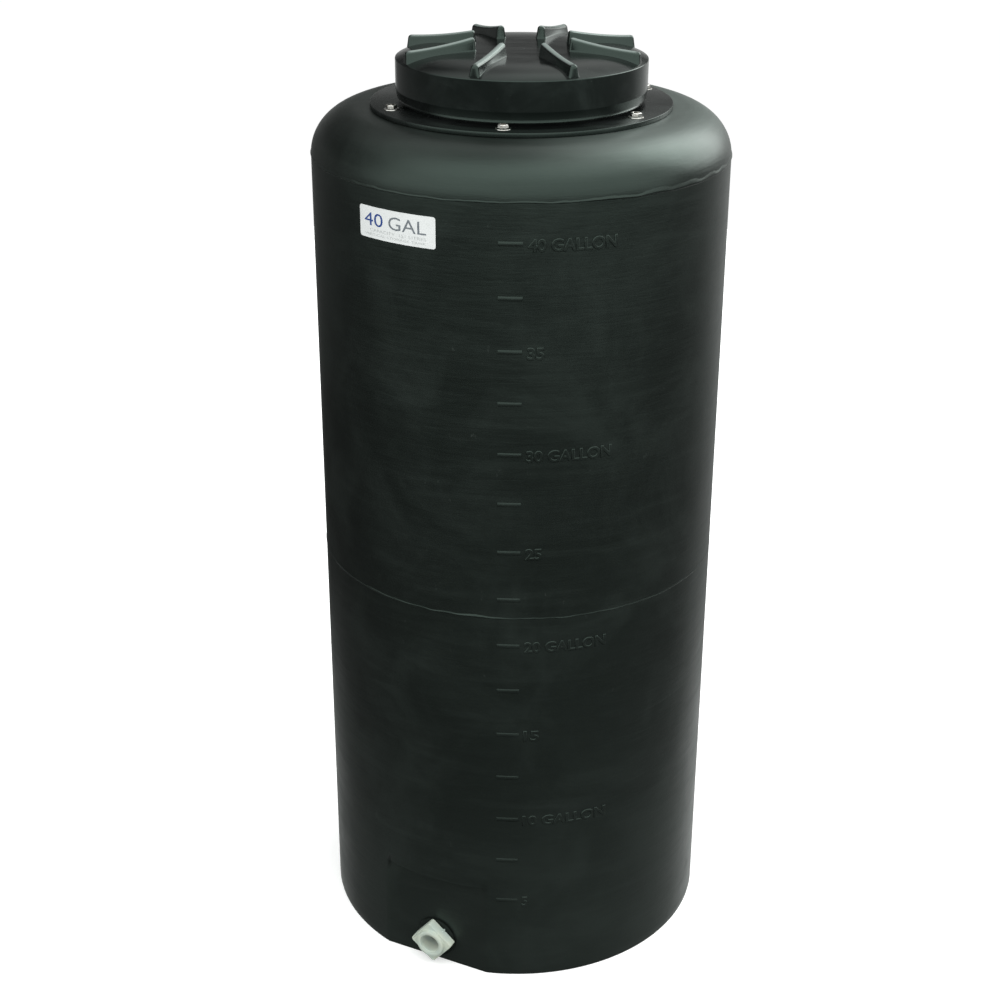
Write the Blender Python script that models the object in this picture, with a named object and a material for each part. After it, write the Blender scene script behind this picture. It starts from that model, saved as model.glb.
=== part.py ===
# Vertical storage tank: a rotomoulded cylinder with a rounded shoulder, a bolted manway ring,
# a screw lid with grip ribs, and a plastic outlet fitting on a flat low on the wall.
# Metres, +Z up. The origin is the centre of the underside, and the level marks face -Y.
# Azimuths are degrees from -Y, positive towards +X.

import math

import bmesh
import bpy
from mathutils import Matrix, Vector

# Driving dimensions of the tank

WALL_RADIUS = 0.235
WALL_THICKNESS = 0.0063
SHOULDER_SEAM = 0.9675
SHOULDER_TOP = 1.0177
SHOULDER_FLAT_RADIUS = 0.181
FOOT_ROUNDING = 0.005
MIDDLE_SEAM = 0.495
SEAM_RIDGE_HEIGHT = 0.0009
SEAM_RIDGE_WIDTH = 0.004
SECTOR_COUNT = 8
SECTOR_STEPS = 8
ROUND_STEPS = SECTOR_COUNT * SECTOR_STEPS
GAP = 0.0003

# Driving dimensions of the outlet

OUTLET_AZIMUTH = -25.4
OUTLET_HEIGHT = 0.033
FLAT_DISTANCE = 0.2248
FLAT_TOP = 0.126
OUTLET_BORE_RADIUS = 0.0125
OUTLET_TUBE_RADIUS = 0.0165
OUTLET_HUB_RADIUS = 0.0180
OUTLET_HUB_LENGTH = 0.0041
OUTLET_PLATE_SIDE = 0.0396
OUTLET_PLATE_THICKNESS = 0.0118
OUTLET_PLATE_ROUNDING = 0.002
OUTLET_PLATE_TURN = 50.4
OUTLET_GASKET_RADIUS = 0.026
OUTLET_GASKET_THICKNESS = 0.0027
OUTLET_NUT_ACROSS_FLATS = 0.045
OUTLET_NUT_THICKNESS = 0.010
OUTLET_TUBE_END = 0.006
OUTLET_RUNNING_GAP = 0.0005

# Driving dimensions of the manway ring, its seal and its fasteners

RING_RADIUS = 0.168
RING_THICKNESS = 0.005
NECK_INNER_RADIUS = 0.1265
NECK_OUTER_RADIUS = 0.1315
NECK_TOP = 1.0610
SEAL_THICKNESS = 0.0029
SEAL_OUTER_RADIUS = 0.1335
BOLT_COUNT = 6
BOLT_CIRCLE_RADIUS = 0.1525
FIRST_BOLT_AZIMUTH = -7.0
BOLT_RADIUS = 0.003175
BOLT_HOLE_RADIUS = 0.0035
BOLT_HEAD_THICKNESS = 0.004
BOLT_END = 0.0005
HEX_ACROSS_FLATS = 0.0111
NUT_THICKNESS = 0.0040
WASHER_RADIUS = 0.0085
WASHER_THICKNESS = 0.0012

# Driving dimensions of the lid

LID_RADIUS = 0.1395
LID_SKIRT_WALL = 0.004
LID_SKIRT_BOTTOM = 1.0295
LID_RIM_TOP = 1.0703
LID_RIM_THICKNESS = 0.0058
LID_EDGE_ROUNDING = 0.001
LID_DOME_RISE = 0.0100
LID_DOME_POWER = 6
DOME_SHARES = (0.97, 0.92, 0.84, 0.72, 0.5, 0)
GRIP_COUNT = 8
GRIP_FIRST_AZIMUTH = 23.7
GRIP_INNER_RADIUS = 0.056
GRIP_OUTER_RADIUS = 0.137
GRIP_THICKNESS = 0.0106
GRIP_INNER_TOP = 1.0952
GRIP_MIDDLE_TOP = 1.0881
GRIP_OUTER_TOP = 1.0847

# Places worked out from the dimensions

WALL_INNER_RADIUS = WALL_RADIUS - WALL_THICKNESS
WALL_BOTTOM = WALL_THICKNESS + GAP
WALL_TOP = SHOULDER_SEAM - GAP
SHOULDER_UNDERSIDE = SHOULDER_TOP - WALL_THICKNESS
RING_BOTTOM = SHOULDER_TOP + GAP
RING_TOP = RING_BOTTOM + RING_THICKNESS
PANEL_INNER_DISTANCE = FLAT_DISTANCE - WALL_THICKNESS
PLATE_DISTANCE = FLAT_DISTANCE + OUTLET_GASKET_THICKNESS + 2 * GAP
HUB_END_DISTANCE = PLATE_DISTANCE + OUTLET_PLATE_THICKNESS + OUTLET_HUB_LENGTH
OUTLET_NUT_DISTANCE = PANEL_INNER_DISTANCE - GAP - OUTLET_NUT_THICKNESS
TUBE_END_DISTANCE = OUTLET_NUT_DISTANCE - OUTLET_TUBE_END
LID_UNDERSIDE = LID_RIM_TOP - LID_RIM_THICKNESS

SECTOR_NAMES = (
    "front_right", "right_front", "right_back", "back_right",
    "back_left", "left_back", "left_front", "front_left",
)


# Helpers

def clear_scene():
    for item in list(bpy.data.objects):
        bpy.data.objects.remove(item, do_unlink=True)


def make_material(name, colour, roughness, metallic=0.0):
    material = bpy.data.materials.new(name)
    material.use_nodes = True
    shader = material.node_tree.nodes["Principled BSDF"]
    shader.inputs["Base Color"].default_value = (*colour, 1.0)
    shader.inputs["Roughness"].default_value = roughness
    shader.inputs["Metallic"].default_value = metallic
    return material


def add_object(name, bm, material, parent=None, location=(0, 0, 0), rotation=(0, 0, 0)):
    mesh = bpy.data.meshes.new(name)
    bm.to_mesh(mesh)
    bm.free()
    mesh.shade_smooth()
    mesh.set_sharp_from_angle(angle=math.radians(35))
    item = bpy.data.objects.new(name, mesh)
    bpy.context.collection.objects.link(item)
    mesh.materials.append(material)
    item.location = location
    item.rotation_euler = rotation
    item.parent = parent
    return item


def add_empty(name, location, rotation=(0, 0, 0)):
    item = bpy.data.objects.new(name, None)
    bpy.context.collection.objects.link(item)
    item.location = location
    item.rotation_euler = rotation
    return item


def add_cutter(name, bm, parent=None, location=(0, 0, 0), rotation=(0, 0, 0)):
    mesh = bpy.data.meshes.new(name)
    bm.to_mesh(mesh)
    bm.free()
    item = bpy.data.objects.new(name, mesh)
    bpy.context.collection.objects.link(item)
    item.location = location
    item.rotation_euler = rotation
    item.parent = parent
    item.hide_render = True
    item.display_type = "WIRE"
    return item


def apply_boolean(item, operation, other):
    modifier = item.modifiers.new(other.name, "BOOLEAN")
    modifier.operation = operation
    modifier.solver = "EXACT"
    modifier.object = other


def spun(profile, closed=True, azimuth=0.0, sweep=360.0, steps=ROUND_STEPS):
    # Spins (radius, height) points about Z, starting at an azimuth, and closes the ends
    bm = bmesh.new()
    turn = Matrix.Rotation(math.radians(azimuth - 90), 3, "Z")
    verts = [bm.verts.new(turn @ Vector((radius, 0, height))) for radius, height in profile]
    edges = [bm.edges.new(pair) for pair in zip(verts, verts[1:])]
    if closed:
        edges.append(bm.edges.new((verts[-1], verts[0])))
    bmesh.ops.spin(
        bm, geom=verts + edges, cent=(0, 0, 0), axis=(0, 0, 1), angle=math.radians(sweep), steps=steps
    )
    bmesh.ops.remove_doubles(bm, verts=bm.verts, dist=1e-6)
    bmesh.ops.holes_fill(bm, edges=bm.edges)
    bmesh.ops.recalc_face_normals(bm, faces=bm.faces)
    return bm


def box(low, high):
    bm = bmesh.new()
    bmesh.ops.create_cube(bm, size=1.0)
    middle = [(a + b) / 2 for a, b in zip(low, high)]
    size = [b - a for a, b in zip(low, high)]
    bmesh.ops.scale(bm, vec=size, verts=bm.verts)
    bmesh.ops.translate(bm, vec=middle, verts=bm.verts)
    return bm


def rod(radius, bottom, top, steps):
    # A round bar or, with six steps, a hexagonal one
    bm = bmesh.new()
    bmesh.ops.create_cone(
        bm, cap_ends=True, segments=steps, radius1=radius, radius2=radius, depth=top - bottom
    )
    bmesh.ops.translate(bm, vec=(0, 0, (top + bottom) / 2), verts=bm.verts)
    return bm


def tube(outer, inner, bottom, top, steps=ROUND_STEPS):
    return spun([(inner, bottom), (outer, bottom), (outer, top), (inner, top)], steps=steps)


def hexagon_radius(across_flats):
    return across_flats / 2 / math.cos(math.radians(30))


def quarter_ellipse(centre, across, up, steps):
    # Points from the widest place to the highest one
    points = []
    for step in range(steps + 1):
        angle = math.pi / 2 * step / steps
        points.append((centre[0] + across * math.cos(angle), centre[1] + up * math.sin(angle)))
    return points


# The tank's moulded body

def make_floor(material, flat_cutter):
    corner = quarter_ellipse((WALL_RADIUS - FOOT_ROUNDING, FOOT_ROUNDING), FOOT_ROUNDING, -FOOT_ROUNDING, 3)
    profile = [(0, 0), *reversed(corner), (WALL_RADIUS, WALL_THICKNESS), (0, WALL_THICKNESS)]
    floor = add_object("tank_floor", spun(profile, closed=False), material)
    apply_boolean(floor, "DIFFERENCE", flat_cutter)


def sector(profile, index):
    # One of the eight sectors, trimmed at both ends so that neighbours don't touch
    trim = math.degrees(GAP / 2 / min(radius for radius, height in profile))
    width = 360 / SECTOR_COUNT
    return spun(profile, azimuth=index * width + trim, sweep=width - 2 * trim, steps=SECTOR_STEPS)


def make_walls(material, flat_cutter):
    # The moulding's middle parting ridge runs round the wall
    profile = [
        (WALL_INNER_RADIUS, WALL_BOTTOM),
        (WALL_RADIUS, WALL_BOTTOM),
        (WALL_RADIUS, MIDDLE_SEAM - SEAM_RIDGE_WIDTH / 2),
        (WALL_RADIUS + SEAM_RIDGE_HEIGHT, MIDDLE_SEAM),
        (WALL_RADIUS, MIDDLE_SEAM + SEAM_RIDGE_WIDTH / 2),
        (WALL_RADIUS, WALL_TOP),
        (WALL_INNER_RADIUS, WALL_TOP),
    ]
    for index, place in enumerate(SECTOR_NAMES):
        wall = add_object("wall_" + place, sector(profile, index), material)
        if place == "front_left":
            apply_boolean(wall, "DIFFERENCE", flat_cutter)


def make_shoulders(material, bolt_holes):
    outside = quarter_ellipse(
        (SHOULDER_FLAT_RADIUS, SHOULDER_SEAM),
        WALL_RADIUS - SHOULDER_FLAT_RADIUS, SHOULDER_TOP - SHOULDER_SEAM, 7,
    )
    inside = quarter_ellipse(
        (SHOULDER_FLAT_RADIUS, SHOULDER_SEAM),
        WALL_INNER_RADIUS - SHOULDER_FLAT_RADIUS, SHOULDER_UNDERSIDE - SHOULDER_SEAM, 7,
    )
    ridge = [
        (WALL_RADIUS + SEAM_RIDGE_HEIGHT, SHOULDER_SEAM + SEAM_RIDGE_WIDTH / 2),
        (WALL_RADIUS, SHOULDER_SEAM + SEAM_RIDGE_WIDTH),
    ]
    profile = [
        outside[0], *ridge, *outside[1:], (NECK_INNER_RADIUS, SHOULDER_TOP),
        (NECK_INNER_RADIUS, SHOULDER_UNDERSIDE), *reversed(inside),
    ]
    for index, place in enumerate(SECTOR_NAMES):
        shoulder = add_object("shoulder_" + place, sector(profile, index), material)
        apply_boolean(shoulder, "DIFFERENCE", bolt_holes)


def make_outlet_panel(material, outlet_frame):
    # The flat and the ledge over it, cut to fit inside the round wall
    reach = WALL_RADIUS / 2
    low = (-reach, -FLAT_DISTANCE, WALL_BOTTOM)
    high = (reach, -PANEL_INNER_DISTANCE, FLAT_TOP + WALL_THICKNESS)
    panel = add_object("outlet_panel", box(low, high), material, outlet_frame)
    ledge_low = (-reach, -WALL_RADIUS, FLAT_TOP)
    ledge_high = (reach, -(FLAT_DISTANCE + PANEL_INNER_DISTANCE) / 2, FLAT_TOP + WALL_THICKNESS)
    ledge = add_cutter("outlet_ledge", box(ledge_low, ledge_high), outlet_frame)
    inside = add_cutter("wall_inside", rod(WALL_INNER_RADIUS - GAP, 0, WALL_RADIUS, ROUND_STEPS))
    hole = rod(OUTLET_TUBE_RADIUS + OUTLET_RUNNING_GAP, PANEL_INNER_DISTANCE - 0.01, WALL_RADIUS, 32)
    hole_cutter = add_cutter(
        "outlet_hole", hole, outlet_frame, (0, 0, OUTLET_HEIGHT), (math.radians(90), 0, 0)
    )
    apply_boolean(panel, "UNION", ledge)
    apply_boolean(panel, "INTERSECT", inside)
    apply_boolean(panel, "DIFFERENCE", hole_cutter)


# The outlet fitting, modelled about Z and turned to point out of the flat

def make_outlet(materials, outlet_frame):
    place = {
        "parent": outlet_frame,
        "location": (0, 0, OUTLET_HEIGHT),
        "rotation": (math.radians(90), 0, 0),
    }
    clear_radius = OUTLET_TUBE_RADIUS + OUTLET_RUNNING_GAP
    plate_end = PLATE_DISTANCE + OUTLET_PLATE_THICKNESS

    half_side = OUTLET_PLATE_SIDE / 2
    plate_shape = box((-half_side, -half_side, PLATE_DISTANCE), (half_side, half_side, plate_end))
    upright = [edge for edge in plate_shape.edges if abs(edge.verts[0].co.z - edge.verts[1].co.z) > GAP]
    bmesh.ops.bevel(
        plate_shape, geom=upright, offset=OUTLET_PLATE_ROUNDING, segments=3, profile=0.5, affect="EDGES"
    )
    bmesh.ops.rotate(plate_shape, cent=(0, 0, 0), verts=plate_shape.verts,
                     matrix=Matrix.Rotation(math.radians(OUTLET_PLATE_TURN), 3, "Z"))
    plate = add_cutter("outlet_plate", plate_shape, **place)
    tail = add_cutter("outlet_tail", rod(OUTLET_TUBE_RADIUS, TUBE_END_DISTANCE, plate_end - GAP, 32), **place)
    bore = add_cutter(
        "outlet_bore", rod(OUTLET_BORE_RADIUS, TUBE_END_DISTANCE - 0.01, HUB_END_DISTANCE + 0.01, 32), **place
    )
    hub = rod(OUTLET_HUB_RADIUS, PLATE_DISTANCE + GAP, HUB_END_DISTANCE, 32)
    fitting = add_object("outlet_fitting", hub, materials["white_plastic"], **place)
    apply_boolean(fitting, "UNION", plate)
    apply_boolean(fitting, "UNION", tail)
    apply_boolean(fitting, "DIFFERENCE", bore)

    gasket_bottom = FLAT_DISTANCE + GAP
    gasket_top = gasket_bottom + OUTLET_GASKET_THICKNESS
    gasket = tube(OUTLET_GASKET_RADIUS, clear_radius, gasket_bottom, gasket_top, 32)
    add_object("outlet_gasket", gasket, materials["rubber"], **place)

    nut_top = OUTLET_NUT_DISTANCE + OUTLET_NUT_THICKNESS
    nut_shape = rod(hexagon_radius(OUTLET_NUT_ACROSS_FLATS), OUTLET_NUT_DISTANCE, nut_top, 6)
    bmesh.ops.rotate(nut_shape, cent=(0, 0, 0), matrix=Matrix.Rotation(math.radians(30), 3, "Z"),
                     verts=nut_shape.verts)
    nut = add_object("outlet_nut", nut_shape, materials["white_plastic"], **place)
    nut_hole = add_cutter(
        "outlet_nut_hole", rod(clear_radius, OUTLET_NUT_DISTANCE - 0.01, nut_top + 0.01, 32), **place
    )
    apply_boolean(nut, "DIFFERENCE", nut_hole)


# The manway ring with its neck, and the fasteners through it

def bolt_azimuth(index):
    return FIRST_BOLT_AZIMUTH + index * 360 / BOLT_COUNT


def bolt_place(index, height):
    angle = math.radians(bolt_azimuth(index))
    return (BOLT_CIRCLE_RADIUS * math.sin(angle), -BOLT_CIRCLE_RADIUS * math.cos(angle), height)


def make_bolt_holes():
    bm = bmesh.new()
    for index in range(BOLT_COUNT):
        spot = Matrix.Translation(bolt_place(index, RING_BOTTOM))
        bmesh.ops.create_cone(
            bm, cap_ends=True, segments=12, radius1=BOLT_HOLE_RADIUS, radius2=BOLT_HOLE_RADIUS,
            depth=0.04, matrix=spot,
        )
    return add_cutter("bolt_holes", bm)


def make_ring(material, bolt_holes):
    profile = [
        (NECK_INNER_RADIUS, RING_BOTTOM), (RING_RADIUS, RING_BOTTOM), (RING_RADIUS, RING_TOP),
        (NECK_OUTER_RADIUS, RING_TOP), (NECK_OUTER_RADIUS, NECK_TOP), (NECK_INNER_RADIUS, NECK_TOP),
    ]
    ring = add_object("manway_ring", spun(profile), material)
    apply_boolean(ring, "DIFFERENCE", bolt_holes)


def make_fasteners(material):
    head_bottom = SHOULDER_UNDERSIDE - GAP - BOLT_HEAD_THICKNESS
    washer_bottom = RING_TOP + GAP
    nut_bottom = washer_bottom + WASHER_THICKNESS + GAP
    bolt_top = nut_bottom + NUT_THICKNESS + BOLT_END
    hex_radius = hexagon_radius(HEX_ACROSS_FLATS)
    for index in range(BOLT_COUNT):
        number = str(index + 1)
        turn = (0, 0, math.radians(bolt_azimuth(index)))

        head = rod(hex_radius, 0, BOLT_HEAD_THICKNESS, 6)
        bolt = add_object("bolt_" + number, head, material, None, bolt_place(index, head_bottom), turn)
        shank = rod(BOLT_RADIUS, GAP, bolt_top - head_bottom, 12)
        shank_item = add_cutter("bolt_shank_" + number, shank, None, bolt_place(index, head_bottom), turn)
        apply_boolean(bolt, "UNION", shank_item)

        washer = tube(WASHER_RADIUS, BOLT_HOLE_RADIUS, 0, WASHER_THICKNESS, 20)
        add_object("washer_" + number, washer, material, None, bolt_place(index, washer_bottom), turn)

        nut_shape = rod(hex_radius, 0, NUT_THICKNESS, 6)
        nut = add_object("nut_" + number, nut_shape, material, None, bolt_place(index, nut_bottom), turn)
        hole = rod(BOLT_HOLE_RADIUS, -0.01, NUT_THICKNESS + 0.01, 12)
        hole_item = add_cutter("nut_hole_" + number, hole, None, bolt_place(index, nut_bottom), turn)
        apply_boolean(nut, "DIFFERENCE", hole_item)


# The screw lid: a seal that stays on the neck, a domed top, eight grip ribs and a skirt

def make_seal(material, lid_axis):
    bottom = NECK_TOP + GAP - LID_SKIRT_BOTTOM
    seal = tube(SEAL_OUTER_RADIUS, NECK_INNER_RADIUS, bottom, bottom + SEAL_THICKNESS)
    add_object("lid_seal", seal, material, lid_axis)


def make_lid_skirt(material, lid_axis):
    top = LID_UNDERSIDE - GAP - LID_SKIRT_BOTTOM
    skirt = tube(LID_RADIUS, LID_RADIUS - LID_SKIRT_WALL, 0, top)
    add_object("lid_skirt", skirt, material, lid_axis)


def dome_height(radius):
    # The lid's upper surface over the bottom of its skirt: nearly flat, and steep near its edge
    share = min(radius / (LID_RADIUS - LID_EDGE_ROUNDING), 1)
    return LID_RIM_TOP - LID_SKIRT_BOTTOM + LID_DOME_RISE * (1 - share ** LID_DOME_POWER)


def make_lid_top(material, lid_axis):
    underside = LID_UNDERSIDE - LID_SKIRT_BOTTOM
    edge_radius = LID_RADIUS - LID_EDGE_ROUNDING
    edge_centre = (edge_radius, dome_height(LID_RADIUS) - LID_EDGE_ROUNDING)
    edge = quarter_ellipse(edge_centre, LID_EDGE_ROUNDING, LID_EDGE_ROUNDING, 3)
    dome = [(edge_radius * share, dome_height(edge_radius * share)) for share in DOME_SHARES]
    profile = [(0, underside), (LID_RADIUS, underside), *edge, *dome]
    add_object("lid_top", spun(profile, closed=False), material, lid_axis)


def make_grip(index, material, lid_axis):
    # A rib standing on the dome along a radius, with a hollow in its top line
    middle_radius = (GRIP_OUTER_RADIUS + GRIP_INNER_RADIUS) / 2
    edge_radius = LID_RADIUS - LID_EDGE_ROUNDING
    dome_radii = [edge_radius * share for share in reversed(DOME_SHARES)]
    underside = [(radius, dome_height(radius) + GAP) for radius in dome_radii if radius > GRIP_INNER_RADIUS]
    outline = [
        (GRIP_INNER_RADIUS, dome_height(GRIP_INNER_RADIUS) + GAP),
        *underside,
        (GRIP_OUTER_RADIUS, dome_height(GRIP_OUTER_RADIUS) + GAP),
        (GRIP_OUTER_RADIUS, GRIP_OUTER_TOP - LID_SKIRT_BOTTOM),
        (middle_radius, GRIP_MIDDLE_TOP - LID_SKIRT_BOTTOM),
        (GRIP_INNER_RADIUS, GRIP_INNER_TOP - LID_SKIRT_BOTTOM),
    ]
    bm = bmesh.new()
    verts = [bm.verts.new((radius, -GRIP_THICKNESS / 2, height)) for radius, height in outline]
    face = bm.faces.new(verts)
    extruded = bmesh.ops.extrude_face_region(bm, geom=[face], use_keep_orig=True)
    moved = [item for item in extruded["geom"] if isinstance(item, bmesh.types.BMVert)]
    bmesh.ops.translate(bm, vec=(0, GRIP_THICKNESS, 0), verts=moved)
    bmesh.ops.recalc_face_normals(bm, faces=bm.faces)
    azimuth = GRIP_FIRST_AZIMUTH + index * 360 / GRIP_COUNT
    turn = (0, 0, math.radians(azimuth - 90))
    add_object("lid_grip_" + str(index + 1), bm, material, lid_axis, rotation=turn)


def build():
    clear_scene()
    materials = {
        "black_polyethylene": make_material("black_polyethylene", (0.018, 0.021, 0.019), 0.55),
        "gloss_black": make_material("gloss_black", (0.008, 0.009, 0.009), 0.2),
        "white_plastic": make_material("white_plastic", (0.72, 0.74, 0.68), 0.4),
        "rubber": make_material("rubber", (0.01, 0.01, 0.01), 0.7),
        "stainless_steel": make_material("stainless_steel", (0.75, 0.75, 0.73), 0.28, 1.0),
    }
    outlet_frame = add_empty("outlet_frame", (0, 0, 0), (0, 0, math.radians(OUTLET_AZIMUTH)))
    lid_axis = add_empty("lid_axis", (0, 0, LID_SKIRT_BOTTOM))
    reach = WALL_RADIUS / 2
    flat_low = (-reach, -2 * WALL_RADIUS, -0.01)
    flat_cutter = add_cutter("outlet_flat", box(flat_low, (reach, -FLAT_DISTANCE, FLAT_TOP)), outlet_frame)
    bolt_holes = make_bolt_holes()

    make_floor(materials["black_polyethylene"], flat_cutter)
    make_walls(materials["black_polyethylene"], flat_cutter)
    make_shoulders(materials["black_polyethylene"], bolt_holes)
    make_outlet_panel(materials["black_polyethylene"], outlet_frame)
    make_outlet(materials, outlet_frame)
    make_ring(materials["gloss_black"], bolt_holes)
    make_fasteners(materials["stainless_steel"])
    make_seal(materials["rubber"], lid_axis)
    make_lid_skirt(materials["gloss_black"], lid_axis)
    make_lid_top(materials["gloss_black"], lid_axis)
    for index in range(GRIP_COUNT):
        make_grip(index, materials["gloss_black"], lid_axis)


build()
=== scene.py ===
# Vertical storage tank: the finished pieces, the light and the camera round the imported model.
# Metres, +Z up. Azimuths are degrees from -Y, positive towards +X.
import math

import bmesh
import bpy
from mathutils import Matrix, Vector, noise


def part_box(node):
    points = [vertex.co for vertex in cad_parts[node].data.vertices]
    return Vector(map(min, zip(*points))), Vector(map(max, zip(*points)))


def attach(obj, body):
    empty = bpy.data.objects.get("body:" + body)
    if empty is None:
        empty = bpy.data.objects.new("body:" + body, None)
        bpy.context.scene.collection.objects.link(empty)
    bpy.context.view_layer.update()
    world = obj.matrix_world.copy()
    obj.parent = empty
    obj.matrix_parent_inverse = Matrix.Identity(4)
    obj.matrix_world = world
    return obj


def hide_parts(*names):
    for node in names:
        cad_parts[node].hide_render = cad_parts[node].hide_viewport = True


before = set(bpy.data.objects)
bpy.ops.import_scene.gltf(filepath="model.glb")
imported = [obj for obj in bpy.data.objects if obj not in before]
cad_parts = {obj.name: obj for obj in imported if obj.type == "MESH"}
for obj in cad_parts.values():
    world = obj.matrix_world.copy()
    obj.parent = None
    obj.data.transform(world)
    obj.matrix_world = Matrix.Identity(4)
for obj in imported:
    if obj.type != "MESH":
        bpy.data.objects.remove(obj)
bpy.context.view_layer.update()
print("CAD model loaded, nodes:", len(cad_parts))


# Mesh helpers

def turned(azimuth, radius=1.0, height=0.0):
    angle = math.radians(azimuth)
    return Vector((radius * math.sin(angle), -radius * math.cos(angle), height))


def azimuthOf(point):
    return math.degrees(math.atan2(point.x, -point.y))


def between(keys, azimuth):  # reads a value from an azimuth table, with eased steps
    places = sorted(keys)
    if azimuth <= places[0]:
        return keys[places[0]]
    for low, high in zip(places, places[1:]):
        if azimuth <= high:
            share = (azimuth - low) / (high - low)
            share = share * share * (3 - 2 * share)
            return keys[low] + (keys[high] - keys[low]) * share
    return keys[places[-1]]


def ripple(azimuth, lumps, seed):  # smooth noise round the axis, about -1 to 1
    spot = turned(azimuth, lumps)
    return noise.noise(Vector((spot.x, spot.y, seed * 7.31))) * 1.6


def spinOutline(outline, steps, closed=False, sectors=8):
    # One sector is spun and then copied round, which is quicker than one long spin
    bm = bmesh.new()
    verts = [bm.verts.new((radius, 0, height)) for radius, height in outline]
    edges = [bm.edges.new(pair) for pair in zip(verts, verts[1:])]
    if closed:
        edges.append(bm.edges.new((verts[-1], verts[0])))
    bmesh.ops.spin(
        bm, geom=verts + edges, cent=(0, 0, 0), axis=(0, 0, 1),
        angle=2 * math.pi / sectors, steps=round(steps / sectors),
    )
    sector = bm.verts[:] + bm.edges[:] + bm.faces[:]
    for index in range(1, sectors):
        copied = bmesh.ops.duplicate(bm, geom=sector)
        turn = Matrix.Rotation(2 * math.pi * index / sectors, 3, "Z")
        moved = [item for item in copied["geom"] if isinstance(item, bmesh.types.BMVert)]
        bmesh.ops.rotate(bm, cent=(0, 0, 0), matrix=turn, verts=moved)
    return cleaned(bm)


def roundEdges(bm, width, segments=2, angle=30, where=None):
    limit = math.radians(angle)
    sharp = [edge for edge in bm.edges if edge.calc_face_angle(0) > limit and (where is None or where(edge))]
    bmesh.ops.bevel(
        bm, geom=sharp, offset=width, segments=segments, profile=0.5,
        affect="EDGES", clamp_overlap=True, material=-1,
    )


def addThread(bm, radius, depth, pitch, start, turns, steps, width=0.45):
    # A ridge wound up the axis; a negative depth points it inwards
    rise = pitch * width
    outline = [(radius, 0), (radius + depth, rise * 0.35), (radius + depth, rise * 0.65), (radius, rise)]
    ridge = bmesh.new()
    verts = [ridge.verts.new((across, 0, start + up)) for across, up in outline]
    edges = [ridge.edges.new(pair) for pair in zip(verts, verts[1:])]
    edges.append(ridge.edges.new((verts[-1], verts[0])))
    bmesh.ops.spin(
        ridge, geom=verts + edges, cent=(0, 0, 0), axis=(0, 0, 1), dvec=(0, 0, pitch / steps),
        angle=2 * math.pi, steps=steps,
    )
    firstTurn = ridge.verts[:] + ridge.edges[:] + ridge.faces[:]
    for index in range(1, turns):
        copied = bmesh.ops.duplicate(ridge, geom=firstTurn)
        moved = [item for item in copied["geom"] if isinstance(item, bmesh.types.BMVert)]
        bmesh.ops.translate(ridge, vec=(0, 0, pitch * index), verts=moved)
    bmesh.ops.remove_doubles(ridge, verts=ridge.verts, dist=1e-6)
    bmesh.ops.holes_fill(ridge, edges=[edge for edge in ridge.edges if edge.is_boundary])
    joinInto(bm, cleaned(ridge))


def cleaned(bm):
    bmesh.ops.remove_doubles(bm, verts=bm.verts, dist=1e-6)
    bmesh.ops.recalc_face_normals(bm, faces=bm.faces)
    return bm


def joinInto(whole, bm):
    mesh = bpy.data.meshes.new("part")
    bm.to_mesh(mesh)
    bm.free()
    whole.from_mesh(mesh)
    bpy.data.meshes.remove(mesh)


def quarterRound(centre, across, up, steps, sweep=90):  # from the widest place to the highest
    turns = [math.radians(sweep) * step / steps for step in range(steps + 1)]
    return [(centre[0] + across * math.cos(turn), centre[1] + up * math.sin(turn)) for turn in turns]


def makePiece(name, bm, finish, smooth=35):
    mesh = bpy.data.meshes.new(name)
    bm.to_mesh(mesh)
    bm.free()
    mesh.shade_smooth()
    mesh.set_sharp_from_angle(angle=math.radians(smooth))
    piece = bpy.data.objects.new(name, mesh)
    bpy.context.scene.collection.objects.link(piece)
    mesh.materials.append(finish)
    return piece


def fixPiece(piece, body, slot, *nodes):
    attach(piece, body)
    if nodes:
        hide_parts(*nodes)
    return piece


def applyModifiers(piece, smooth=35):
    bpy.context.view_layer.update()
    made = bpy.data.meshes.new_from_object(piece.evaluated_get(bpy.context.evaluated_depsgraph_get()))
    piece.modifiers.clear()
    piece.data = made
    made.name = piece.name
    made.shade_smooth()
    made.set_sharp_from_angle(angle=math.radians(smooth))


# Material helpers

class Reading:  # what a node gives: an expression on it adds Math nodes
    def __init__(self, bench, socket):
        self.bench = bench
        self.socket = socket

    def maths(self, operation, *values):
        return self.bench.node("ShaderNodeMath", {"operation": operation}, dict(enumerate(values)))

    def __add__(self, other):
        return self.maths("ADD", self, other)

    def __radd__(self, other):
        return self.maths("ADD", other, self)

    def __sub__(self, other):
        return self.maths("SUBTRACT", self, other)

    def __rsub__(self, other):
        return self.maths("SUBTRACT", other, self)

    def __mul__(self, other):
        return self.maths("MULTIPLY", self, other)

    def __rmul__(self, other):
        return self.maths("MULTIPLY", other, self)


class NodeBench:  # adds nodes to one tree
    def __init__(self, tree):
        self.tree = tree

    def node(self, kind, settings, values, output=0):
        made = self.tree.nodes.new(kind)
        for setting, value in settings.items():
            setattr(made, setting, value)
        for label, value in values.items():
            if isinstance(value, Reading):
                self.tree.links.new(value.socket, made.inputs[label])
            else:
                made.inputs[label].default_value = value
        return Reading(self, made.outputs[output])

    def ramp(self, value, low, high, start=0.0, end=1.0):
        return self.node("ShaderNodeMapRange", {"interpolation_type": "SMOOTHSTEP"}, {
            "Value": value, "From Min": low, "From Max": high, "To Min": start, "To Max": end,
        })


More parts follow.
